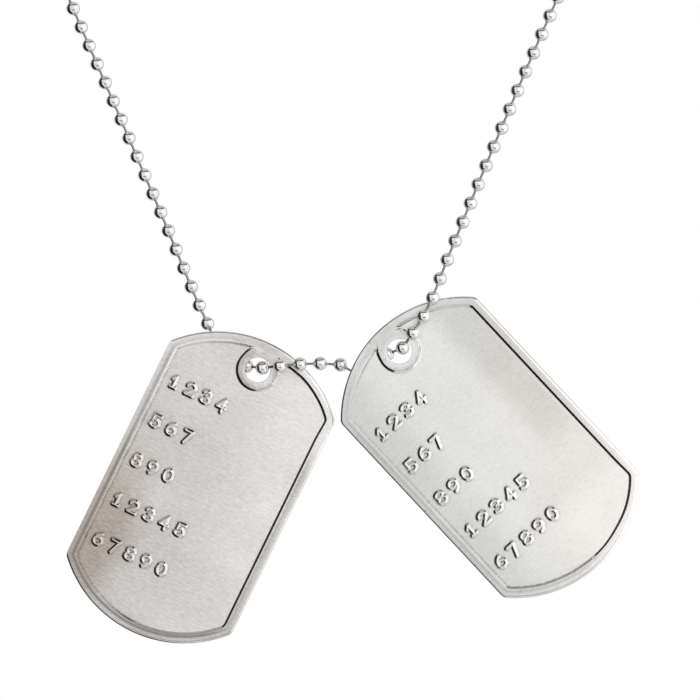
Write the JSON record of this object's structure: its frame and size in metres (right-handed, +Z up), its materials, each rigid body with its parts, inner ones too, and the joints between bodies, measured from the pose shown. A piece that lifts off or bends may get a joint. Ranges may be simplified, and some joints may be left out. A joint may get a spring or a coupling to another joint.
{
  "type": "identification dog tags on a ball chain",
  "caption": "Stamped steel identification tags with a raised rim and raised numbers, threaded on a closed ball-chain necklace that hangs from the neck.",
  "frame": {"origin": "the point of the nape that the connector lies against, on the connector's side towards the neck", "axes": "+Z up, -Y from the nape towards the tags, which hang in front and face -Y, and +X to the right as seen from the front"},
  "size_m": [0.1381, 0.1455, 0.2098],
  "materials": {
    "tag_steel": "satin stainless steel, finely brushed along the rows of numbers, with a smoother rim",
    "chain_steel": "bright polished steel balls and links",
    "connector_steel": "bright polished steel sleeve"
  },
  "bodies": {
    "chain": {"ball_chain": "chain_steel", "connector": "connector_steel"},
    "left_tag": {"left_tag": "tag_steel"},
    "right_tag": {"right_tag": "tag_steel"}
  },
  "joints": [
    {"name": "left_tag_swing", "type": "hinge", "parent": "chain", "child": "left_tag", "pos_m": [-0.0091, -0.13635, -0.1656], "axis": [0, 1, 0], "range_deg": [-86, 34]},
    {"name": "right_tag_swing", "type": "hinge", "parent": "chain", "child": "right_tag", "pos_m": [0.013, -0.13965, -0.1627], "axis": [0, 1, 0], "range_deg": [-17, 103]}
  ]
}
